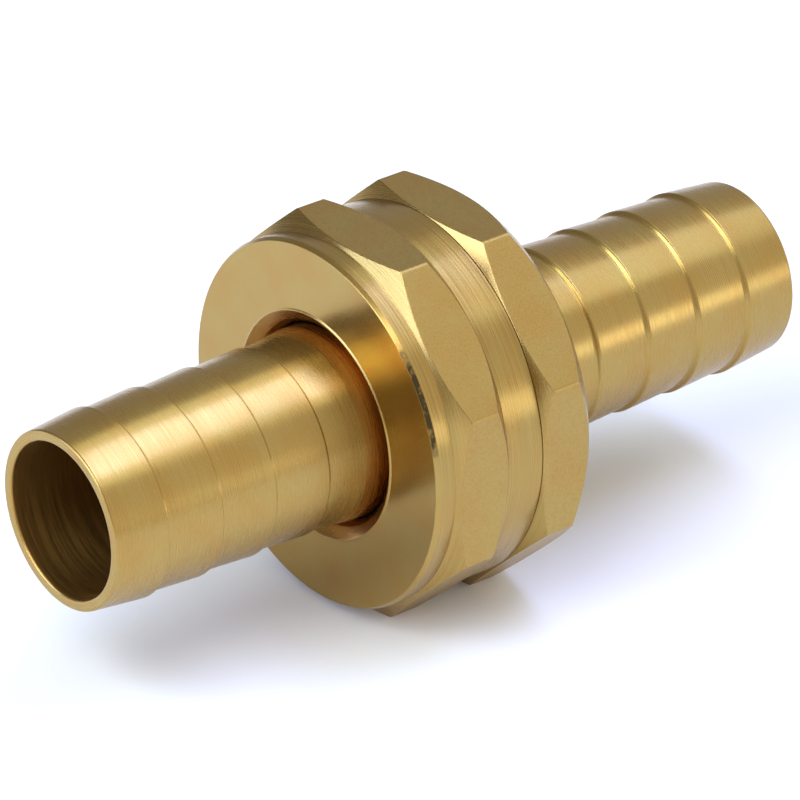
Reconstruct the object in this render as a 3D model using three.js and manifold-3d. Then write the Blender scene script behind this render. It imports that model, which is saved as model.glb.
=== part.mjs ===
// A brass hose union for three-quarter-inch hose: two barbed tails that meet face to face on a flat
// gasket and are drawn together by a loose octagonal nut.
//
// Millimetres. +X runs along the waterway, from the mouth of the swivel tail to the mouth of the
// threaded tail. +Z is up. The origin is the middle of the waterway.
import * as THREE from 'three';
import { mergeVertices } from 'three/addons/utils/BufferGeometryUtils.js';
import Module from 'manifold-3d';

const wasm = await Module();
wasm.setup();

// Whole union
const LENGTH = 90;
const ROUND_SIDES = 48;
const FACE_GAP = 0.05;

// Hose tails: thin sleeves with shallow barbs that rise from the mouth and drop behind each crest
const BORE_R = 8.4;
const MOUTH_R = 9.58;
const CREST_R = 10.2;
const NECK_R = 9.83;
const BARB_COUNT = 4;
const BARB_DROP_LENGTH = 0.4;
const SWIVEL_FIRST_CREST = 6.1;
const SWIVEL_BARB_PITCH = 6.77;
const THREADED_FIRST_CREST = 6.6;
const THREADED_BARB_PITCH = 6.93;

// Swivel tail's flange, which the nut pulls on
const FLANGE_R = 14.9;
const FLANGE_THICKNESS = 2.75;
const FILLET_R = 0.9;
const FILLET_STEPS = 5;

// Swivel tail's neck, which sweeps outwards from the last barb until it nearly fills the nut's hole
const FLARE_SLOPE = 0.05;
const FLARE_BEND_R = 48;
const FLARE_END = 32.6;
const FLARE_STEPS = 6;

// Flat gasket
const GASKET_BORE_R = 9;
const GASKET_R = 14.7;
const GASKET_THICKNESS = 2;

// Octagonal wrench sections
const ACROSS_FLATS = 41;
const CORNER_COUNT = 8;
const CORNER_R = ACROSS_FLATS / 2 / Math.cos(Math.PI / CORNER_COUNT);
const SECTION_INNER_R = 12;

// Union nut, measured from its front face
const NUT_FROM_MOUTH = 32.4;
const NUT_LENGTH = 13.5;
const NUT_FACE_R = 19.8;
const BOSS_R = 20.1;
const COLLAR_R = 20.4;
const FACE_CHAMFER = 0.5;
const REAR_CHAMFER = 0.15;
const COUNTERSINK_R = 12.5;
const COUNTERSINK_DEPTH = 0.63;
const THROAT_R = 11.07;
const THROAT_END = 1.7;
const HOLE_R = 10.7;
const SEAT_CHAMFER = 0.8;
const WEB_THICKNESS = 2.7;
const RELIEF_START = 4.6;
const RELIEF_END = 6.4;
const LEAD_IN = 1.1;
const NUT_OCTAGON = { front: 2.4, rear: 9.03, frontR: BOSS_R, rearR: COLLAR_R, frontRun: 0.722, rearRun: 1 };
const NUT_OCTAGON_INNER_R = 18;

// Threaded tail, measured from its sealing face
const THREAD_END = 5.4;
const UNDERCUT_START = 5.2;
const UNDERCUT_R = 14.95;
const END_CHAMFER = 0.5;
const TAIL_OCTAGON = { front: 6, rear: 12.3, frontR: 20.4, rearR: 20.2, frontRun: 0.56, rearRun: 1 };

// Parallel one-inch pipe thread, right-handed
const PITCH = 2.309;
const CREST_THREAD_R = 16.6;
const ROOT_THREAD_R = 15.15;
const CREST_HALF_WIDTH = 0.15;
const FLANK_ANGLE = THREE.MathUtils.degToRad(27.5);
const RADIAL_CLEARANCE = 0.2;
const AXIAL_CLEARANCE = 0.12;
const NUT_MINOR_R = ROOT_THREAD_R + RADIAL_CLEARANCE;
const NUT_MAJOR_R = CREST_THREAD_R + RADIAL_CLEARANCE;
const RELIEF_R = NUT_MAJOR_R + 0.2;
const RIDGE_OVERLAP = 0.15;
const THREAD_CHAMFER_RUN = 0.6;

// Places along the waterway
const SWIVEL_X = -LENGTH / 2;
const NUT_X = SWIVEL_X + NUT_FROM_MOUTH;
const FLANGE_FROM_MOUTH = NUT_FROM_MOUTH + WEB_THICKNESS + FACE_GAP;
const SWIVEL_LENGTH = FLANGE_FROM_MOUTH + FLANGE_THICKNESS;
const GASKET_X = SWIVEL_X + SWIVEL_LENGTH + FACE_GAP;
const THREADED_X = GASKET_X + GASKET_THICKNESS + FACE_GAP;
const THREADED_LENGTH = LENGTH / 2 - THREADED_X;

// A closed three.js geometry as a solid that can be joined and cut.
function solidFrom(geometry) {
  geometry.deleteAttribute('normal');
  geometry.deleteAttribute('uv');
  const merged = mergeVertices(geometry);
  return new wasm.Manifold(new wasm.Mesh({
    numProp: 3,
    vertProperties: new Float32Array(merged.attributes.position.array),
    triVerts: new Uint32Array(merged.index.array),
  }));
}

// A ring turned about the X axis. Its outline of [x, radius] points runs towards +X along the
// outside and back along the inside.
function turnedRing(outline) {
  const points = outline.map(([x, radius]) => new THREE.Vector2(radius, x));
  points.push(points[0].clone());
  const geometry = new THREE.LatheGeometry(points, ROUND_SIDES);
  geometry.rotateZ(-Math.PI / 2);
  return solidFrom(geometry);
}

// An octagonal bar along X, with a flat facing up.
function octagonBar(front, rear) {
  const outline = new THREE.Shape();
  for (let corner = 0; corner < CORNER_COUNT; corner += 1) {
    const angle = (corner + 0.5) * 2 * Math.PI / CORNER_COUNT;
    const point = [CORNER_R * Math.cos(angle), CORNER_R * Math.sin(angle)];
    if (corner === 0) outline.moveTo(...point);
    else outline.lineTo(...point);
  }
  const geometry = new THREE.ExtrudeGeometry(outline, { depth: rear - front, bevelEnabled: false });
  geometry.rotateY(Math.PI / 2);
  geometry.translate(front, 0, 0);
  return solidFrom(geometry);
}

// A wrench section: an octagonal bar whose corners are turned off by a cone at each end. A run is
// the cone's length for each millimetre of radius.
function wrenchSection({ front, rear, frontR, rearR, frontRun, rearRun }, innerR) {
  const outerR = CORNER_R + 1;
  const cones = turnedRing([
    [front, innerR],
    [front, frontR],
    [front + (outerR - frontR) * frontRun, outerR],
    [rear - (outerR - rearR) * rearRun, outerR],
    [rear, rearR],
    [rear, innerR],
  ]);
  return octagonBar(front - 1, rear + 1).intersect(cones);
}

// One continuous right-handed ridge of the thread, from inner radius to outer radius, wound about
// the X axis. Every ridge with the same offset lies on the same helix.
function threadRidge({ innerR, outerR, widening, offset, start, end }) {
  const step = PITCH / ROUND_SIDES;
  const halfWidth = (radius) => {
    const flank = (CREST_THREAD_R - radius) * Math.tan(FLANK_ANGLE);
    return CREST_HALF_WIDTH + widening + flank;
  };
  const section = [
    [-halfWidth(innerR), innerR],
    [-halfWidth(outerR), outerR],
    [halfWidth(outerR), outerR],
    [halfWidth(innerR), innerR],
  ];
  const positions = [];
  const first = Math.ceil((start - offset) / step);
  const last = Math.floor((end - offset) / step);
  for (let index = first; index <= last; index += 1) {
    const angle = 2 * Math.PI * index / ROUND_SIDES;
    for (const [along, radius] of section) {
      positions.push(offset + index * step + along, radius * Math.cos(angle), radius * Math.sin(angle));
    }
  }
  const size = section.length;
  const faces = [0, 1, 2, 0, 2, 3];
  for (let ring = 0; ring < last - first; ring += 1) {
    for (let side = 0; side < size; side += 1) {
      const near = ring * size + side;
      const nextNear = ring * size + (side + 1) % size;
      faces.push(near, near + size, nextNear);
      faces.push(nextNear, near + size, nextNear + size);
    }
  }
  const tail = (last - first) * size;
  faces.push(tail, tail + 2, tail + 1, tail, tail + 3, tail + 2);
  const geometry = new THREE.BufferGeometry();
  geometry.setAttribute('position', new THREE.Float32BufferAttribute(positions, 3));
  geometry.setIndex(faces);
  return solidFrom(geometry);
}

// The outside of a hose tail as [distance from the mouth, radius] points, from the mouth inwards.
function barbOutline(firstCrest, pitch) {
  const outline = [[0, MOUTH_R]];
  for (let barb = 0; barb < BARB_COUNT; barb += 1) {
    const crest = firstCrest + barb * pitch;
    outline.push([crest, CREST_R]);
    outline.push([crest + BARB_DROP_LENGTH, NECK_R]);
  }
  return outline;
}

// The swivel tail, measured from its mouth: barbs, flared neck, fillet and the flange that the nut
// holds.
function swivelTail() {
  const outline = [[0, BORE_R], ...barbOutline(SWIVEL_FIRST_CREST, SWIVEL_BARB_PITCH)];
  const [neckStart, neckR] = outline[outline.length - 1];
  for (let step = 1; step <= FLARE_STEPS; step += 1) {
    const along = (FLARE_END - neckStart) * step / FLARE_STEPS;
    outline.push([neckStart + along, neckR + along * FLARE_SLOPE + along ** 2 / (2 * FLARE_BEND_R)]);
  }
  const flareR = outline[outline.length - 1][1];
  for (let step = 0; step <= FILLET_STEPS; step += 1) {
    const angle = Math.PI / 2 * step / FILLET_STEPS;
    outline.push([
      FLANGE_FROM_MOUTH - FILLET_R * (1 - Math.sin(angle)),
      flareR + FILLET_R * (1 - Math.cos(angle)),
    ]);
  }
  outline.push([FLANGE_FROM_MOUTH, FLANGE_R]);
  outline.push([SWIVEL_LENGTH, FLANGE_R]);
  outline.push([SWIVEL_LENGTH, BORE_R]);
  return turnedRing(outline);
}

// The gasket, measured from the face that the flange presses on.
function gasket() {
  return turnedRing([
    [0, GASKET_BORE_R],
    [0, GASKET_R],
    [GASKET_THICKNESS, GASKET_R],
    [GASKET_THICKNESS, GASKET_BORE_R],
  ]);
}

// The union nut, measured from its front face: a boss with a dished web that holds the flange, an
// octagon, and a round collar over the thread.
function unionNut() {
  const octagonMiddle = (NUT_OCTAGON.front + NUT_OCTAGON.rear) / 2;
  const body = turnedRing([
    [0, COUNTERSINK_R],
    [0, NUT_FACE_R],
    [FACE_CHAMFER, BOSS_R],
    [octagonMiddle, BOSS_R],
    [octagonMiddle, COLLAR_R],
    [NUT_LENGTH - REAR_CHAMFER, COLLAR_R],
    [NUT_LENGTH, COLLAR_R - REAR_CHAMFER],
    [NUT_LENGTH, NUT_MAJOR_R],
    [NUT_LENGTH - LEAD_IN, NUT_MINOR_R],
    [RELIEF_END, NUT_MINOR_R],
    [RELIEF_END, RELIEF_R],
    [RELIEF_START, RELIEF_R],
    [RELIEF_START, NUT_MINOR_R],
    [WEB_THICKNESS, NUT_MINOR_R],
    [WEB_THICKNESS, HOLE_R + SEAT_CHAMFER],
    [WEB_THICKNESS - SEAT_CHAMFER, HOLE_R],
    [THROAT_END, HOLE_R],
    [COUNTERSINK_DEPTH, THROAT_R],
  ]);
  const groove = threadRidge({
    innerR: ROOT_THREAD_R,
    outerR: NUT_MAJOR_R,
    widening: AXIAL_CLEARANCE,
    offset: THREADED_X - NUT_X,
    start: (RELIEF_START + RELIEF_END) / 2,
    end: NUT_LENGTH + PITCH,
  });
  return body.add(wrenchSection(NUT_OCTAGON, NUT_OCTAGON_INNER_R)).subtract(groove);
}

// The threaded tail, measured from its sealing face: thread, undercut, octagon, neck and barbs.
function threadedTail() {
  const barbs = barbOutline(THREADED_FIRST_CREST, THREADED_BARB_PITCH)
    .map(([distance, radius]) => [THREADED_LENGTH - distance, radius])
    .reverse();
  const octagonMiddle = (TAIL_OCTAGON.front + TAIL_OCTAGON.rear) / 2;
  const body = turnedRing([
    [0, BORE_R],
    [0, ROOT_THREAD_R - END_CHAMFER],
    [END_CHAMFER, ROOT_THREAD_R],
    [UNDERCUT_START, ROOT_THREAD_R],
    [UNDERCUT_START + RADIAL_CLEARANCE, UNDERCUT_R],
    [octagonMiddle, UNDERCUT_R],
    [octagonMiddle, NECK_R],
    ...barbs,
    [THREADED_LENGTH, BORE_R],
  ]);
  const rise = CREST_THREAD_R - ROOT_THREAD_R;
  const threadEnds = turnedRing([
    [0, UNDERCUT_R],
    [0, ROOT_THREAD_R],
    [rise * THREAD_CHAMFER_RUN, CREST_THREAD_R],
    [rise * THREAD_CHAMFER_RUN, CREST_THREAD_R + 1],
    [THREAD_END - rise * THREAD_CHAMFER_RUN, CREST_THREAD_R + 1],
    [THREAD_END - rise * THREAD_CHAMFER_RUN, CREST_THREAD_R],
    [THREAD_END, ROOT_THREAD_R],
    [THREAD_END, UNDERCUT_R],
  ]);
  const ridge = threadRidge({
    innerR: ROOT_THREAD_R - RIDGE_OVERLAP,
    outerR: CREST_THREAD_R,
    widening: 0,
    offset: 0,
    start: -PITCH,
    end: THREAD_END + PITCH,
  });
  return body.add(wrenchSection(TAIL_OCTAGON, SECTION_INNER_R)).add(ridge.intersect(threadEnds));
}

const brass = () => new THREE.MeshStandardMaterial({ color: 0xb8975a, roughness: 0.32, metalness: 1 });
const rubber = () => new THREE.MeshStandardMaterial({ color: 0x1d1d1e, roughness: 0.75, metalness: 0 });

function piece(name, solid, x, material) {
  const { vertProperties, triVerts } = solid.getMesh();
  const geometry = new THREE.BufferGeometry();
  geometry.setAttribute('position', new THREE.BufferAttribute(vertProperties, 3));
  geometry.setIndex(new THREE.BufferAttribute(triVerts, 1));
  geometry.computeVertexNormals();
  const mesh = new THREE.Mesh(geometry, material);
  mesh.name = name;
  mesh.position.x = x;
  return mesh;
}

const union = new THREE.Group();
union.add(piece('threaded_hose_tail', threadedTail(), THREADED_X, brass()));
union.add(piece('flat_gasket', gasket(), GASKET_X, rubber()));
union.add(piece('swivel_hose_tail', swivelTail(), SWIVEL_X, brass()));
union.add(piece('union_nut', unionNut(), NUT_X, brass()));

export default union;
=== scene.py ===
import math

import bpy
import bmesh
from mathutils import Matrix, Vector


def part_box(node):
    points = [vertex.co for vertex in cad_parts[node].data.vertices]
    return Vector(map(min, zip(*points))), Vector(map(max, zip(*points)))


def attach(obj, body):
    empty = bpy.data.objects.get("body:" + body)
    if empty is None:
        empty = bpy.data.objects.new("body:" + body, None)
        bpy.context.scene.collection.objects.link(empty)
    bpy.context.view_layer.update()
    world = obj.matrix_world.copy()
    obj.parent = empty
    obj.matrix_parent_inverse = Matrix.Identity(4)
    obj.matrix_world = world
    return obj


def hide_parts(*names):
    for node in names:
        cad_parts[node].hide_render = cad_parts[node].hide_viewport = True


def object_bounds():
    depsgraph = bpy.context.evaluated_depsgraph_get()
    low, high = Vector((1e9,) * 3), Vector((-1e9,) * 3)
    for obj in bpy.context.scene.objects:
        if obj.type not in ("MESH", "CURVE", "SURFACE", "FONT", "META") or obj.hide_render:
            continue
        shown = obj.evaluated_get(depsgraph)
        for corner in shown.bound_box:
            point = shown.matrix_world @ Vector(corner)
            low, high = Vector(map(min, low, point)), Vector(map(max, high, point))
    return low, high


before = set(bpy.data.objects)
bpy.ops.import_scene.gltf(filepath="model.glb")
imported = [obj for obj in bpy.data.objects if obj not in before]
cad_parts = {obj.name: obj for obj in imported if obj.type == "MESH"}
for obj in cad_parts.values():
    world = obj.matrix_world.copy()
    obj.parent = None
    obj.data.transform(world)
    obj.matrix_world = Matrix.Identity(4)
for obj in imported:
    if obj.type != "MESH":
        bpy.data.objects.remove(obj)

cad_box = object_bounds()

# Everything below is worked out in millimetres along the waterway and turned into metres at the end.
MM = 0.001


def extent(node):
    """Where a CAD node starts and ends along the waterway, in millimetres."""
    low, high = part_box(node)
    return low.x / MM, high.x / MM


SWIVEL_START, SWIVEL_END = extent("swivel_hose_tail")
NUT_START, NUT_END = extent("union_nut")
GASKET_START, GASKET_END = extent("flat_gasket")
THREADED_START, THREADED_END = extent("threaded_hose_tail")
FLOOR_Z = cad_box[0].z

# Hose tails
BORE_R = 8.4
MOUTH_R = 9.58
CREST_R = 10.2
NECK_R = 9.83
BARB_COUNT = 4
# First crest from the mouth, pitch of the crests, length of the drop behind each, and a crest's rounding
SWIVEL_BARBS = {"first": 6.1, "pitch": 6.77, "drop": 0.14, "rounding": 0.1}
THREADED_BARBS = {"first": 6.6, "pitch": 6.93, "drop": 0.4, "rounding": 0.35}
BARB_ROOT_ROUNDING = 0.25
MOUTH_ROUNDING = 0.25
MOUTH_BORE_ROUNDING = 0.3
SEAL_BORE_ROUNDING = 0.12
NECK_ROUNDING = 0.35

# Flange of the swivel tail, and the flare of its neck, whose last part, inside the nut's hole, takes the
# hole's brass with its painted orange bounce light
FLANGE_R = 14.9
FLANGE_THICKNESS = 2.75
FLANGE_ROUNDING = 0.15
FILLET_R = 0.9
FLARE_SLOPE = 0.09
FLARE_BEND_R = 140.0
FLARE_END = 32.6
FLARE_STEPS = 12
FLARE_PAINTED_BOUNCE_FROM = 9

# Gasket
GASKET_BORE_R = 9.0
GASKET_R = 14.7
GASKET_ROUNDING = 0.1

# Union nut, from its front face
NUT_FACE_R = 19.8
BOSS_R = 20.1
COLLAR_R = 20.4
FACE_CHAMFER = 0.5
FACE_ROUNDING = 0.08
BOSS_ROUNDING = 0.1
REAR_CHAMFER = 0.06
REAR_ROUNDING = 0.03
REAR_STEP = 0.07
REAR_STEP_R = 18.4
COUNTERSINK_R = 12.5
COUNTERSINK_DEPTH = 0.85
THROAT_R = 11.25
THROAT_END = 1.7
THROAT_ROUNDING = 0.3
LIP_RISE = 0.12
LIP_RUN = 0.26
LIP_CREST_R = COUNTERSINK_R - LIP_RUN / 3
LIP_ROUNDING = 0.07
HOLE_R = 10.7
SEAT_CHAMFER = 0.8
WEB_THICKNESS = 2.7
RELIEF_START = 4.6
RELIEF_END = 6.4
RELIEF_R = 17.0
RELIEF_RUN_OUT = 0.5
INNER_ROUNDING = 0.1
LEAD_IN = 1.1

# Octagonal wrench sections, from the start of their piece. A run is the length of an end's cone for each
# millimetre of radius.
FLAT_R = -FLOOR_Z / MM
SIDES = 8
HALF_SIDE = math.pi / SIDES
CORNER_ROUNDING = 0.6
CONE_ROOT_ROUNDING = 0.08
CONE_EDGE_ROUNDING = 0.12
NUT_OCTAGON = {
    "front": 2.4, "front_r": BOSS_R, "front_run": 0.722,
    "rear": 9.03, "rear_r": COLLAR_R, "rear_run": 1.0,
}
TAIL_OCTAGON = {
    "front": 6.0, "front_r": 20.4, "front_run": 0.56,
    "rear": 12.3, "rear_r": 20.2, "rear_run": 1.0,
}

# Thread
PITCH = 2.309
THREAD_CREST_R = 16.6
THREAD_ROOT_R = 15.15
THREAD_CREST_HALF = 0.15
THREAD_CREST_ROUNDING = 0.12
THREAD_ROOT_ROUNDING = 0.25
THREAD_PLAY = 0.12
THREAD_CLEARANCE = 0.2
THREAD_END = 5.4
THREAD_CHAMFER_RUN = 0.6
FLANK = math.tan(math.radians(27.5))
UNDERCUT_R = 14.95
UNDERCUT_ROUNDING = 0.1
END_CHAMFER = 0.5
NUT_MINOR_R = THREAD_ROOT_R + THREAD_CLEARANCE
NUT_MAJOR_R = THREAD_CREST_R + THREAD_CLEARANCE

# Mesh fineness. The columns on a flat are even, with closer ones at these shares of its half width.
ROUND_COLUMNS = 256
FLAT_COLUMNS = 9
FLAT_EDGE_SHARES = (0.95, 0.985, 1)
CORNER_COLUMNS = 6
ARC_STEPS = 4
SUPPORT = 0.06
LONGEST_REACH = 0.4
LONGEST_SUPPORT = 0.45
WELD_DISTANCE = 2e-7
SHARP_ANGLE = math.radians(50)


# ---------------------------------------------------------------- outlines

def rounded(corners, closed):
    """An outline with its corners rounded. A corner is (x, radius, rounding, finish), and the finish is the
    material of the surface that follows it. Returns the points and the finish between each point and the
    next."""
    points, finishes = [], []
    count = len(corners)
    for index, (x, radius, rounding, finish) in enumerate(corners):
        here = Vector((x, radius))
        finish_before = corners[index - 1][3]
        at_end = not closed and index in (0, count - 1)
        if rounding == 0 or at_end:
            points.append(here)
            finishes.append(finish)
            continue
        before = Vector(corners[index - 1][:2]) - here
        after = Vector(corners[(index + 1) % count][:2]) - here
        turn = before.angle(-after) if before.length and after.length else 0.0
        reach = rounding * math.tan(turn / 2)
        reach_back = min(reach, before.length * LONGEST_REACH)
        reach_on = min(reach, after.length * LONGEST_REACH)
        support_back = min(reach_back + SUPPORT, before.length * LONGEST_SUPPORT)
        support_on = min(reach_on + SUPPORT, after.length * LONGEST_SUPPORT)
        back, on = before.normalized(), after.normalized()
        start, end = here + back * reach_back, here + on * reach_on
        points.append(here + back * support_back)
        finishes.append(finish_before)
        for step in range(ARC_STEPS + 1):
            share = step / ARC_STEPS
            points.append(start * (1 - share) ** 2 + here * 2 * share * (1 - share) + end * share ** 2)
            finishes.append(finish_before if share < 0.5 else finish)
        points.append(here + on * support_on)
        finishes.append(finish)
    return points, finishes


def corner_tangent():
    """The angle from the middle of a flat to where the rounding of the octagon's corner starts."""
    return math.atan((FLAT_R - CORNER_ROUNDING) * math.tan(HALF_SIDE) / FLAT_R)


def octagon_radius(angle):
    """The radius of an octagon with rounded corners and a flat facing up, at an angle about the axis."""
    off_flat = (angle + HALF_SIDE) % (2 * HALF_SIDE) - HALF_SIDE
    if abs(off_flat) <= corner_tangent():
        return FLAT_R / math.cos(off_flat)
    centre = (FLAT_R - CORNER_ROUNDING) / math.cos(HALF_SIDE)
    off_corner = HALF_SIDE - abs(off_flat)
    beyond_centre = math.sqrt(CORNER_ROUNDING ** 2 - (centre * math.sin(off_corner)) ** 2)
    return centre * math.cos(off_corner) + beyond_centre


def octagon_angles():
    """Column angles that lie close together at the rounded corners of an octagon."""
    tangent = corner_tangent()
    shares = [-share for share in reversed(FLAT_EDGE_SHARES)]
    shares += [step / FLAT_COLUMNS for step in range(1 - FLAT_COLUMNS, FLAT_COLUMNS)]
    shares += FLAT_EDGE_SHARES
    side = [tangent * share for share in shares]
    corner = 2 * (HALF_SIDE - tangent)
    side += [tangent + corner * step / CORNER_COLUMNS for step in range(1, CORNER_COLUMNS)]
    return [number * 2 * HALF_SIDE + angle for number in range(SIDES) for angle in side]


def round_angles():
    return [2 * math.pi * step / ROUND_COLUMNS for step in range(ROUND_COLUMNS)]


def wrench_corners(octagon, angle, flat, turned):
    """The corners of a wrench section's outline where it passes one angle."""
    radius = octagon_radius(angle)
    front, front_r = octagon["front"], octagon["front_r"]
    rear, rear_r = octagon["rear"], octagon["rear_r"]
    return [
        (front, front_r, CONE_ROOT_ROUNDING, turned),
        (front + (radius - front_r) * octagon["front_run"], radius, CONE_EDGE_ROUNDING, flat),
        (rear - (radius - rear_r) * octagon["rear_run"], radius, CONE_EDGE_ROUNDING, turned),
        (rear, rear_r, CONE_ROOT_ROUNDING, turned),
    ]


def barb_corners(barbs, finish):
    """The outside of a hose tail from its mouth inwards, with x as the distance from the mouth."""
    corners = [(0, MOUTH_R, MOUTH_ROUNDING, finish)]
    for number in range(BARB_COUNT):
        crest = barbs["first"] + number * barbs["pitch"]
        corners.append((crest, CREST_R, barbs["rounding"], finish))
        corners.append((crest + barbs["drop"], NECK_R, BARB_ROOT_ROUNDING, finish))
    return corners


def thread_section(play, clearance):
    """One pitch of the thread from root to root, as (x, radius) points with rounded corners."""
    root, crest = THREAD_ROOT_R + clearance, THREAD_CREST_R + clearance
    half_crest = THREAD_CREST_HALF + play - clearance * FLANK
    half_root = half_crest + (crest - root) * FLANK
    corners = [
        (-PITCH / 2, root, 0, None),
        (-half_root, root, THREAD_ROOT_ROUNDING, None),
        (-half_crest, crest, THREAD_CREST_ROUNDING, None),
        (half_crest, crest, THREAD_CREST_ROUNDING, None),
        (half_root, root, THREAD_ROOT_ROUNDING, None),
        (PITCH / 2, root, 0, None),
    ]
    return rounded(corners, closed=False)[0][:-1]


def thread_columns(section, angles, origin, start, end, limit):
    """The helix from start to end as columns of points. Limit gives the radius that a chamfer leaves at x.
    Turns past both ends are folded onto the ends, so that every column is full."""
    first = math.floor((start - origin) / PITCH) - 2
    last = math.ceil((end - origin) / PITCH) + 1
    columns = []
    for angle in angles:
        column = []
        for turn in range(first, last + 1):
            for x, radius in section:
                along = origin + (turn + angle / (2 * math.pi)) * PITCH + x
                along = min(max(along, start), end)
                column.append((along, limit(along, radius)))
        columns.append(column)
    return columns


# ---------------------------------------------------------------- meshes

class Skin:
    """Collects the strips of one piece and welds them into one mesh."""

    def __init__(self, name):
        self.name = name
        self.finishes = []
        self.mesh = bmesh.new()

    def finish_index(self, finish):
        if finish not in self.finishes:
            self.finishes.append(finish)
        return self.finishes.index(finish)

    def strip(self, columns, angles, finishes, shift=0, closed=False, inward=False):
        """Joins columns of (x, radius) points, one column at each angle. With a shift, the last column
        meets the first that many points further on, as a helix does. An inward strip runs towards +X on
        the inside of a hole, and any other runs towards +X on the outside."""
        grid = []
        for points, angle in zip(columns, angles):
            across, up = math.cos(angle), math.sin(angle)
            grid.append([self.mesh.verts.new((x * MM, r * across * MM, r * up * MM)) for x, r in points])
        rows = len(grid[0])
        indices = [self.finish_index(finish) for finish in finishes]
        for number, column in enumerate(grid):
            last = number == len(grid) - 1
            other = grid[0] if last else grid[number + 1]
            step = shift if last else 0
            for row in range(rows if closed else rows - 1):
                following = (row + 1) % rows
                near, far = min(row + step, rows - 1), min(following + step, rows - 1)
                quad = [column[row], other[near], other[far], column[following]]
                self.add_face(quad, indices[row], inward)

    def add_face(self, quad, finish_index, inward):
        """Adds a face, unless its corners fall together on a line."""
        corners = [vertex for place, vertex in enumerate(quad) if vertex is not quad[place - 1]]
        if len(corners) < 3:
            return
        if inward:
            corners.reverse()
        face = self.mesh.faces.new(corners)
        face.smooth = True
        face.material_index = finish_index

    def stand_for(self, body, node):
        """Welds the strips, hides the CAD node that the piece stands for and lets it ride on its body."""
        bmesh.ops.remove_doubles(self.mesh, verts=self.mesh.verts, dist=WELD_DISTANCE)
        data = bpy.data.meshes.new(self.name)
        self.mesh.to_mesh(data)
        self.mesh.free()
        for material in self.finishes:
            data.materials.append(material)
        data.set_sharp_from_angle(angle=SHARP_ANGLE)
        piece = bpy.data.objects.new(self.name, data)
        bpy.context.scene.collection.objects.link(piece)
        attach(piece, body)
        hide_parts(node)


# ---------------------------------------------------------------- materials

BRASS = (0.41, 0.278, 0.085)
# The dark painted into the low places of the texture: shade in the lathe's grooves, and specks in a milled
# flat's grain.
BRASS_SPECK_AND_GROOVE_SHADE = (0.17, 0.1, 0.028)
# A deeper orange: the brass's random clouds, and painted orange bounce light in holes and bores.
BRASS_CLOUD_AND_BOUNCE = (0.42, 0.2, 0.042)
# The colour of a painted dark reflection on the nut's rim.
DARK_REFLECTION_COLOUR = (0.045, 0.03, 0.018)
RUBBER_DARK = (0.012, 0.012, 0.013)
RUBBER_PALE = (0.03, 0.03, 0.031)
PAPER = (0.9, 0.9, 0.9)

MICROMETRE = 0.000001
# Noises are (scale, detail, roughness), in millimetres on brass and in metres on rubber.
RING_NOISE = (1.0, 3.0, 0.6)
GRAIN_NOISE = (5.0, 3.0, 0.65)
CLOUD_NOISE = (0.22, 3.0, 0.5)
DARK_REFLECTION_NOISE = (0.9, 3.0, 0.6)
MOTTLE_NOISE = (1.3, 3.0, 0.7)
RUBBER_GRAIN_NOISE = (3500.0, 4.0, 0.6)
RUBBER_SHADE_NOISE = (400.0, 2.0, 0.5)
# The clouds of deeper colour in the brass: the part of the noise that shows, and the most they hold
CLOUD_RANGE = (0.35, 0.7)
CLOUD_DEPTH = 0.35
# Pits: how close together their cells are, and where a dent's wall lies in its cell
PIT_SCALE = 0.55
PIT_WALL = (0.05, 0.16)
# Where a bump height lies between its lowest and its highest, and how far it moves the roughness
BUMP_RANGE = (0.3, 0.7)
ROUGHNESS_RANGE = (-0.05, 0.06)
# Bump heights between which a low place goes from clean to dark: painted shade in a groove, a dark speck in
# a flat's grain
SPECK_AND_GROOVE_SHADE_RANGE = (0.55, 0.35)
# A painted dark reflection lies as a ragged patch to one side of the nut's front rim, at 58 degrees from
# the top.
DARK_REFLECTION_FACING = (0.0, -math.sin(math.radians(58)), math.cos(math.radians(58)))
DARK_REFLECTION_EDGE = (1.018, 1.045)
DARK_REFLECTION_RAGGEDNESS = 0.12
MOTTLE_RANGE = (0.3, 0.46)
MOTTLE_STRENGTH = (0.25, 0.9)
# A quarter turn puts the stretched highlight across the lathe's marks.
ANISOTROPIC_ROTATION = 0.25
RUBBER_ROUGHNESS = (0.55, 0.8)
RUBBER_BUMP = 20 * MICROMETRE
RUBBER_BUMP_STRENGTH = 0.6
PAPER_ROUGHNESS = 0.8


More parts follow.
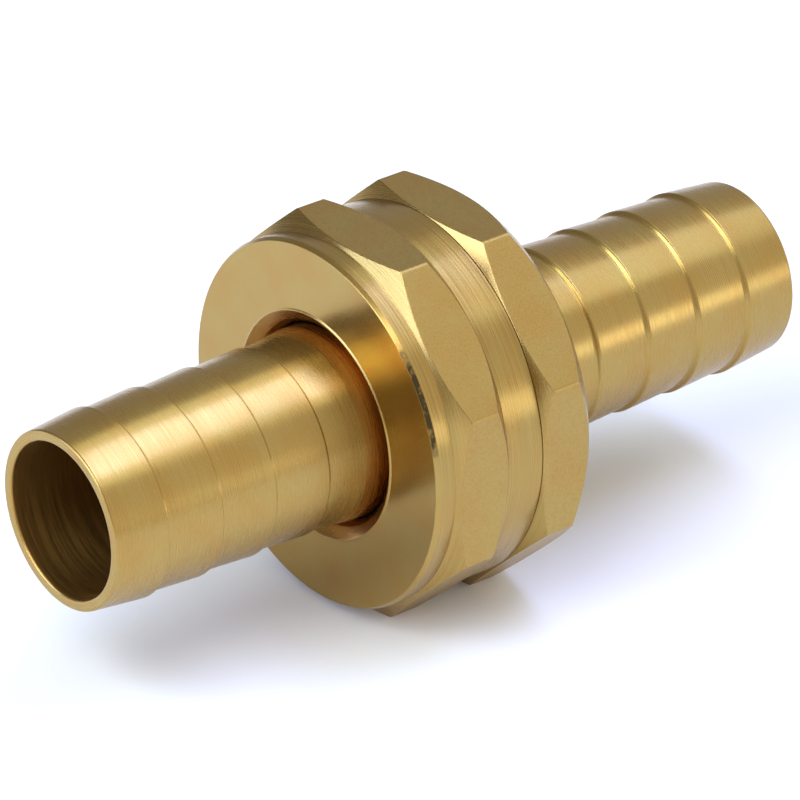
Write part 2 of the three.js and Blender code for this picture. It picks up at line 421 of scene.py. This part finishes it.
class Nodes:
    """A short way to write a material's node tree."""

    def __init__(self, name):
        self.material = bpy.data.materials.new(name)
        self.material.use_nodes = True
        self.tree = self.material.node_tree
        self.tree.nodes.clear()

    def add(self, kind, settings=None, **inputs):
        node = self.tree.nodes.new("ShaderNode" + kind)
        for key, value in (settings or {}).items():
            setattr(node, key, value)
        for key, value in inputs.items():
            self.put(node.inputs[key.replace("_", " ")], value)
        return node

    def put(self, socket, value):
        if isinstance(value, bpy.types.NodeSocket):
            self.tree.links.new(value, socket)
        else:
            socket.default_value = value

    def math(self, operation, first, second=0.0):
        node = self.add("Math", {"operation": operation})
        self.put(node.inputs[0], first)
        self.put(node.inputs[1], second)
        return node.outputs[0]

    def noise(self, vector, scale, detail, roughness):
        node = self.add("TexNoise", Vector=vector, Scale=scale, Detail=detail, Roughness=roughness)
        return node.outputs["Fac"]

    def spread(self, value, low, high, to_low=0.0, to_high=1.0):
        node = self.add("MapRange")
        for socket, number in zip(node.inputs, (value, low, high, to_low, to_high)):
            self.put(socket, number)
        return node.outputs[0]

    def mix(self, factor, first, second):
        node = self.add("Mix", {"data_type": "RGBA"})
        for socket, value in ((0, factor), (6, first), (7, second)):
            self.put(node.inputs[socket], value)
        return node.outputs[2]

    def surface(self, shader):
        """Shows the shader on the surface and returns the material."""
        out = self.add("OutputMaterial")
        self.put(out.inputs["Surface"], shader.outputs[0])
        return self.material


def colour(rgb):
    return (*rgb, 1.0)


def lathe_coordinates(n, place):
    """How far along a turned surface a place lies, and its direction from the axis."""
    x, y, z = n.add("SeparateXYZ", Vector=place).outputs
    radius = n.math("SQRT", n.math("ADD", n.math("MULTIPLY", y, y), n.math("MULTIPLY", z, z)))
    around = {"Y": n.math("DIVIDE", y, radius), "Z": n.math("DIVIDE", z, radius)}
    return n.math("ADD", x, radius), around


def dark_reflection_mask(n, place, around):
    """How strongly a dark reflection is painted on the brass: a ragged, mottled patch on one side."""
    facing = n.add("VectorMath", {"operation": "DOT_PRODUCT"})
    n.put(facing.inputs[0], n.add("CombineXYZ", **around).outputs[0])
    n.put(facing.inputs[1], DARK_REFLECTION_FACING)
    ragged = n.math("MULTIPLY", n.noise(place, *DARK_REFLECTION_NOISE), DARK_REFLECTION_RAGGEDNESS)
    patch = n.spread(n.math("ADD", facing.outputs["Value"], ragged), *DARK_REFLECTION_EDGE)
    mottle = n.spread(n.noise(place, *MOTTLE_NOISE), *MOTTLE_RANGE, *MOTTLE_STRENGTH)
    return n.math("MULTIPLY", patch, mottle)


def brass_shade(n, place, texture, painted_bounce, speck_and_groove_shade):
    """Brass with clouds of deeper colour at random, painted orange bounce light where asked, and painted
    dark where the texture is low: painted shade in the lathe's grooves on turned surfaces, dark specks in
    the grain on milled flats.
    """
    cloud = n.math("MULTIPLY", n.spread(n.noise(place, *CLOUD_NOISE), *CLOUD_RANGE), CLOUD_DEPTH)
    shade = n.mix(cloud, colour(BRASS), colour(BRASS_CLOUD_AND_BOUNCE))
    # Paints the orange of light bounced between brass walls into a hole or bore.
    if painted_bounce:
        shade = n.mix(painted_bounce, shade, colour(BRASS_CLOUD_AND_BOUNCE))
    # Paints shade into the lathe's grooves on turned surfaces, and dark specks into the grain on milled
    # flats.
    return n.mix(n.spread(texture, *SPECK_AND_GROOVE_SHADE_RANGE, 0.0, speck_and_groove_shade), shade, colour(BRASS_SPECK_AND_GROOVE_SHADE))


def stretch_highlight(n, shader, anisotropy):
    """Stretches the highlight of a turned surface across the lathe's marks."""
    shader.inputs["Anisotropic"].default_value = anisotropy
    shader.inputs["Anisotropic Rotation"].default_value = ANISOTROPIC_ROTATION
    tangent = n.add("Tangent", {"direction_type": "RADIAL", "axis": "X"})
    n.put(shader.inputs["Tangent"], tangent.outputs[0])


def brass(name, roughness, rings=0.0, ring_width=0.12, grain=0.0, pits=0.0, anisotropy=0.0, painted_bounce=0.0,
          speck_and_groove_shade=0.0, painted_dark_reflection=False):
    """Brass. Rings are the lathe's marks, which run round the axis on every turned surface. Grain is the
    fine texture of a milled flat, and pits are its dents. All three are bump heights in micrometres. The
    orange depth paints the orange of light bounced between brass walls into a hole or bore. The speckle
    paints the low places of the texture dark: painted shade in the lathe's grooves on turned surfaces, and
    dark specks in the grain on milled flats. The rim flag paints a dark reflection as a patch on one side."""
    n = Nodes(name)
    place = n.add("VectorMath", {"operation": "SCALE"}, Scale=1 / MM)
    n.put(place.inputs[0], n.add("TexCoord").outputs["Object"])
    place = place.outputs[0]
    along, around = lathe_coordinates(n, place)
    turned = n.add("CombineXYZ", X=n.math("DIVIDE", along, ring_width), **around).outputs[0]
    ring_height = n.noise(turned, *RING_NOISE)
    grain_height = n.noise(place, *GRAIN_NOISE)
    texture = ring_height if rings > grain else grain_height

    height = n.math("ADD", n.math("MULTIPLY", ring_height, rings), n.math("MULTIPLY", grain_height, grain))
    if pits:
        cells = n.add("TexVoronoi", Vector=place, Scale=PIT_SCALE, Randomness=1.0).outputs["Distance"]
        height = n.math("ADD", height, n.math("MULTIPLY", n.spread(cells, *PIT_WALL), pits))
    bump = n.add("Bump", Height=height, Distance=MICROMETRE, Strength=1.0)

    shade = brass_shade(n, place, texture, painted_bounce, speck_and_groove_shade)
    # Paints a dark reflection as a ragged patch on one side of the rim.
    if painted_dark_reflection:
        shade = n.mix(dark_reflection_mask(n, place, around), shade, colour(DARK_REFLECTION_COLOUR))
    roughness_range = [roughness + change for change in ROUGHNESS_RANGE]
    fine = n.spread(texture, *BUMP_RANGE, *roughness_range)
    shader = n.add("BsdfPrincipled", Base_Color=shade, Metallic=1.0, Roughness=fine, Normal=bump.outputs[0])
    if anisotropy:
        stretch_highlight(n, shader, anisotropy)
    return n.surface(shader)


def rubber(name):
    """Black sheet rubber with a fine matt grain."""
    n = Nodes(name)
    place = n.add("TexCoord").outputs["Object"]
    height = n.noise(place, *RUBBER_GRAIN_NOISE)
    bump = n.add("Bump", Height=height, Distance=RUBBER_BUMP, Strength=RUBBER_BUMP_STRENGTH)
    shade = n.mix(n.noise(place, *RUBBER_SHADE_NOISE), colour(RUBBER_DARK), colour(RUBBER_PALE))
    rough = n.spread(height, *BUMP_RANGE, *RUBBER_ROUGHNESS)
    return n.surface(n.add("BsdfPrincipled", Base_Color=shade, Roughness=rough, Normal=bump.outputs[0]))


def paper(name):
    """Plain white paper for the floor."""
    n = Nodes(name)
    return n.surface(n.add("BsdfPrincipled", Base_Color=colour(PAPER), Roughness=PAPER_ROUGHNESS))


# The speckle paints shade into the grooves of turned brass and dark specks into milled grain.
turned_brass = brass("brass_turned", 0.24, rings=6.0, ring_width=0.13, anisotropy=0.5, speck_and_groove_shade=0.35)
# The rim brass carries a painted dark reflection on one side.
rim_brass = brass("brass_rim", 0.24, rings=3.0, anisotropy=0.3, speck_and_groove_shade=0.2, painted_dark_reflection=True)
milled_brass = brass("brass_milled_flat", 0.34, grain=16.0, pits=10.0, speck_and_groove_shade=0.25)
faced_brass = brass("brass_faced", 0.22, rings=0.5, ring_width=0.3, grain=0.7, anisotropy=0.3, speck_and_groove_shade=0.15)
barb_brass = brass("brass_barb", 0.27, rings=0.5, ring_width=0.15, grain=0.3, anisotropy=0.5, speck_and_groove_shade=0.08)
# The hole and bore brass carry painted orange bounce light, standing in for light reflected between brass
# walls.
hole_brass = brass("brass_hole", 0.28, rings=5.0, ring_width=0.25, anisotropy=0.3, painted_bounce=0.7, speck_and_groove_shade=0.3)
bored_brass = brass("brass_bored", 0.4, rings=22.0, ring_width=0.3, anisotropy=0.3, painted_bounce=0.5, speck_and_groove_shade=0.35)
thread_brass = brass("brass_thread", 0.26, rings=1.0, ring_width=0.1, speck_and_groove_shade=0.2)
sheet_rubber = rubber("sheet_rubber")


# ---------------------------------------------------------------- pieces

def build_swivel_tail():
    """Barbed tail with a flared neck and the flange that the nut pulls on."""
    end = SWIVEL_END - SWIVEL_START
    flange = end - FLANGE_THICKNESS
    corners = [(0, BORE_R, MOUTH_BORE_ROUNDING, barb_brass)] + barb_corners(SWIVEL_BARBS, barb_brass)
    neck = corners[-1][0]
    for step in range(1, FLARE_STEPS + 1):
        along = (FLARE_END - neck) * step / FLARE_STEPS
        flare_r = NECK_R + along * FLARE_SLOPE + along ** 2 / (2 * FLARE_BEND_R)
        corners.append((neck + along, flare_r, 0, barb_brass if step < FLARE_PAINTED_BOUNCE_FROM else hole_brass))
    corners += [
        (flange, flare_r, FILLET_R, hole_brass),
        (flange, FLANGE_R, FLANGE_ROUNDING, barb_brass),
        (end, FLANGE_R, FLANGE_ROUNDING, hole_brass),
        (end, BORE_R, SEAL_BORE_ROUNDING, bored_brass),
    ]
    points, finishes = rounded(corners, closed=True)
    column = [(SWIVEL_START + x, r) for x, r in points]
    angles = round_angles()
    skin = Skin("swivel_tail_brass")
    skin.strip([column] * len(angles), angles, finishes, closed=True)
    skin.stand_for("swivel_tail", "swivel_hose_tail")


def build_gasket():
    """Flat ring with slightly rounded cut edges."""
    corners = [
        (GASKET_START, GASKET_BORE_R, GASKET_ROUNDING, sheet_rubber),
        (GASKET_START, GASKET_R, GASKET_ROUNDING, sheet_rubber),
        (GASKET_END, GASKET_R, GASKET_ROUNDING, sheet_rubber),
        (GASKET_END, GASKET_BORE_R, GASKET_ROUNDING, sheet_rubber),
    ]
    points, finishes = rounded(corners, closed=True)
    angles = round_angles()
    skin = Skin("gasket_ring")
    skin.strip([points] * len(angles), angles, finishes, closed=True)
    skin.stand_for("gasket", "flat_gasket")


def nut_corners(angle):
    """The nut's outline at one angle, from its relief groove round the front to the mouth of its thread."""
    length = NUT_END - NUT_START
    rear = length + REAR_STEP
    return [
        (RELIEF_END, RELIEF_R, 0, hole_brass),
        (RELIEF_START, RELIEF_R, INNER_ROUNDING, hole_brass),
        (RELIEF_START, NUT_MINOR_R, INNER_ROUNDING, hole_brass),
        (WEB_THICKNESS, NUT_MINOR_R, INNER_ROUNDING, hole_brass),
        (WEB_THICKNESS, HOLE_R + SEAT_CHAMFER, INNER_ROUNDING, hole_brass),
        (WEB_THICKNESS - SEAT_CHAMFER, HOLE_R, INNER_ROUNDING, hole_brass),
        (THROAT_END, HOLE_R, THROAT_ROUNDING, hole_brass),
        (COUNTERSINK_DEPTH, THROAT_R, THROAT_ROUNDING, hole_brass),
        (-LIP_RISE, LIP_CREST_R, LIP_ROUNDING, faced_brass),
        (0, LIP_CREST_R + LIP_RUN, LIP_ROUNDING, faced_brass),
        (0, NUT_FACE_R, FACE_ROUNDING, rim_brass),
        (FACE_CHAMFER, BOSS_R, BOSS_ROUNDING, turned_brass),
        *wrench_corners(NUT_OCTAGON, angle, milled_brass, turned_brass),
        (rear - REAR_CHAMFER, COLLAR_R, REAR_ROUNDING, turned_brass),
        (rear, COLLAR_R - REAR_CHAMFER, REAR_ROUNDING, faced_brass),
        (rear, REAR_STEP_R, 0, faced_brass),
        (length, REAR_STEP_R, 0, faced_brass),
        (length, NUT_MAJOR_R, 0, hole_brass),
    ]


def build_nut():
    """Loose octagonal nut: countersunk web, boss, octagon, collar and female thread."""
    angles = octagon_angles()
    columns = []
    for angle in angles:
        points, finishes = rounded(nut_corners(angle), closed=False)
        columns.append([(NUT_START + x, r) for x, r in points])
    skin = Skin("nut_brass_body")
    skin.strip(columns, angles, finishes)
    start, end = NUT_START + RELIEF_END, NUT_END

    def limit(x, radius):
        relief = RELIEF_R - (x - start) * (RELIEF_R - NUT_MINOR_R) / RELIEF_RUN_OUT
        mouth = NUT_MAJOR_R - (end - x) * (NUT_MAJOR_R - NUT_MINOR_R) / LEAD_IN
        return max(min(radius, NUT_MAJOR_R), relief, mouth)

    section = thread_section(THREAD_PLAY, THREAD_CLEARANCE)
    thread = thread_columns(section, angles, THREADED_START, start, end, limit)
    skin.strip(thread, angles, [thread_brass] * len(thread[0]), shift=len(section), inward=True)
    skin.stand_for("nut", "union_nut")


def threaded_tail_corners(angle):
    """The threaded tail's outline at one angle, from its undercut round the mouth to its sealing face."""
    length = THREADED_END - THREADED_START
    barbs = barb_corners(THREADED_BARBS, barb_brass)
    barbs = [(length - x, r, rounding, finish) for x, r, rounding, finish in barbs]
    return [
        (THREAD_END, UNDERCUT_R, 0, turned_brass),
        (TAIL_OCTAGON["front"], UNDERCUT_R, UNDERCUT_ROUNDING, faced_brass),
        *wrench_corners(TAIL_OCTAGON, angle, milled_brass, turned_brass),
        (TAIL_OCTAGON["rear"], NECK_R, NECK_ROUNDING, barb_brass),
        *reversed(barbs),
        (length, BORE_R, MOUTH_BORE_ROUNDING, bored_brass),
        (0, BORE_R, SEAL_BORE_ROUNDING, faced_brass),
        (0, THREAD_ROOT_R - END_CHAMFER, 0, faced_brass),
    ]


def build_threaded_tail():
    """Male thread, undercut, octagon, neck and barbs in one piece."""
    angles = octagon_angles()
    columns = []
    for angle in angles:
        points, finishes = rounded(threaded_tail_corners(angle), closed=False)
        columns.append([(THREADED_START + x, r) for x, r in points])
    skin = Skin("threaded_tail_brass")
    skin.strip(columns, angles, finishes)
    start, end = THREADED_START, THREADED_START + THREAD_END

    def limit(x, radius):
        front = THREAD_ROOT_R - END_CHAMFER + (x - start) / THREAD_CHAMFER_RUN
        rear = UNDERCUT_R + (end - x) / THREAD_CHAMFER_RUN
        return min(radius, front, rear)

    section = thread_section(0.0, 0.0)
    thread = thread_columns(section, angles, THREADED_START, start, end, limit)
    skin.strip(thread, angles, [thread_brass] * len(thread[0]), shift=len(section))
    skin.stand_for("threaded_tail", "threaded_hose_tail")


build_threaded_tail()
build_gasket()
build_swivel_tail()
build_nut()

# ---------------------------------------------------------------- floor, light and camera

FLOOR_HALF_WIDTH = 3.0
FLOOR_CELLS = 8

# Everything in the studio is set against how bright the floor looks.
FLOOR_GLOW = 1.0
# The watts that a square metre of lamp needs for a glow of 1
WATTS_FOR_GLOW = 4

# The sky fades from the side that lies behind the object to the side that lies in front of it.
SKY_FACING = (0.5, -0.87, 0.0)
SKY_BEHIND = 0.27
SKY_IN_FRONT = 1.05

# Name, azimuth and elevation in degrees, distance, width and height in metres, glow and tint
SOFTBOXES = (
    ("overhead_softbox", 80, 70, 0.9, 1.04, 0.28, 1.4, (0.86, 0.97, 1.0)),
    ("overhead_core", 74, 70, 0.9, 0.58, 0.24, 5.4, (0.29, 0.375, 1.0)),
    ("upper_softbox", 83, 46, 0.9, 0.62, 0.2, 1.4, (0.65, 0.78, 1.0)),
    ("left_softbox", -108, 17, 0.8, 0.66, 0.34, 6.0, (0.5, 0.62, 1.0)),
    ("left_upper_softbox", -102, 49, 0.9, 0.42, 0.26, 5.6, (0.78, 0.95, 1.0)),
    ("right_softbox", 41, 4, 0.8, 0.24, 0.2, 2.1, (0.85, 0.9, 1.0)),
    ("front_softbox", -68, 51, 0.9, 0.4, 0.36, 3.6, (0.9, 0.95, 1.0)),
)
FLOOR_FILL = ("floor_fill", -40, 60, 1.5, 2.0, 2.0, 0.1, (1.0, 0.92, 0.76))

CAMERA_AZIMUTH = -39.7
CAMERA_ELEVATION = 29.95
CAMERA_ROLL = 1.77
CAMERA_DISTANCE = 649.6
CAMERA_LENS = 280.9
CAMERA_SENSOR = 36.0
CAMERA_CLIP = (0.01, 20.0)
CAMERA_TARGET = (-1.15, 0.16, -0.98)


def towards(azimuth, elevation):
    """The direction at an azimuth and elevation in degrees. Azimuth 0 is -Y, and 90 is +X."""
    side, up = math.radians(azimuth), math.radians(elevation)
    return Vector((math.sin(side) * math.cos(up), -math.cos(side) * math.cos(up), math.sin(up)))


def lay_floor():
    mesh = bmesh.new()
    bmesh.ops.create_grid(mesh, x_segments=FLOOR_CELLS, y_segments=FLOOR_CELLS, size=FLOOR_HALF_WIDTH)
    data = bpy.data.meshes.new("floor")
    mesh.to_mesh(data)
    mesh.free()
    data.materials.append(paper("floor_paper"))
    floor = bpy.data.objects.new("floor", data)
    floor.location.z = FLOOR_Z
    bpy.context.scene.collection.objects.link(floor)


def light_sky():
    world = bpy.data.worlds.new("studio")
    bpy.context.scene.world = world
    world.use_nodes = True
    nodes, links = world.node_tree.nodes, world.node_tree.links
    aim = nodes.new("ShaderNodeVectorMath")
    aim.operation = "DOT_PRODUCT"
    aim.inputs[1].default_value = SKY_FACING
    fade = nodes.new("ShaderNodeMapRange")
    fade.inputs["From Min"].default_value = -1.0
    fade.inputs["From Max"].default_value = 1.0
    fade.inputs["To Min"].default_value = SKY_BEHIND * FLOOR_GLOW
    fade.inputs["To Max"].default_value = SKY_IN_FRONT * FLOOR_GLOW
    background = nodes["Background"]
    background.inputs["Color"].default_value = (1.0, 1.0, 1.0, 1.0)
    links.new(nodes.new("ShaderNodeTexCoord").outputs["Generated"], aim.inputs[0])
    links.new(aim.outputs["Value"], fade.inputs["Value"])
    links.new(fade.outputs["Result"], background.inputs["Strength"])


def softbox(name, azimuth, elevation, distance, width, height, glow, tint):
    """A soft light that faces the object. Its glow is how bright it looks against the floor."""
    light = bpy.data.lights.new(name, "AREA")
    light.shape = "RECTANGLE"
    light.size = width
    light.size_y = height
    light.energy = glow * FLOOR_GLOW * WATTS_FOR_GLOW * width * height
    light.color = tint
    lamp = bpy.data.objects.new(name, light)
    away = towards(azimuth, elevation)
    lamp.location = away * distance
    lamp.rotation_mode = "QUATERNION"
    lamp.rotation_quaternion = away.to_track_quat("Z", "Y")
    lamp.visible_camera = False
    bpy.context.scene.collection.objects.link(lamp)
    return lamp


def place_camera():
    lens = bpy.data.cameras.new("camera")
    lens.sensor_width = CAMERA_SENSOR
    lens.lens = CAMERA_LENS
    lens.clip_start, lens.clip_end = CAMERA_CLIP
    camera = bpy.data.objects.new("camera", lens)
    back = towards(CAMERA_AZIMUTH, CAMERA_ELEVATION)
    roll = Matrix.Rotation(math.radians(CAMERA_ROLL), 4, "Z")
    eye = (Vector(CAMERA_TARGET) + back * CAMERA_DISTANCE) * MM
    camera.matrix_world = Matrix.Translation(eye) @ back.to_track_quat("Z", "Y").to_matrix().to_4x4() @ roll
    bpy.context.scene.collection.objects.link(camera)
    bpy.context.scene.camera = camera
    bpy.context.scene.view_settings.view_transform = "Standard"


lay_floor()
light_sky()
for box in SOFTBOXES:
    softbox(*box)
# The fill lights the floor, and stays out of the reflections.
fill = softbox(*FLOOR_FILL)
fill.visible_glossy = False
place_camera()
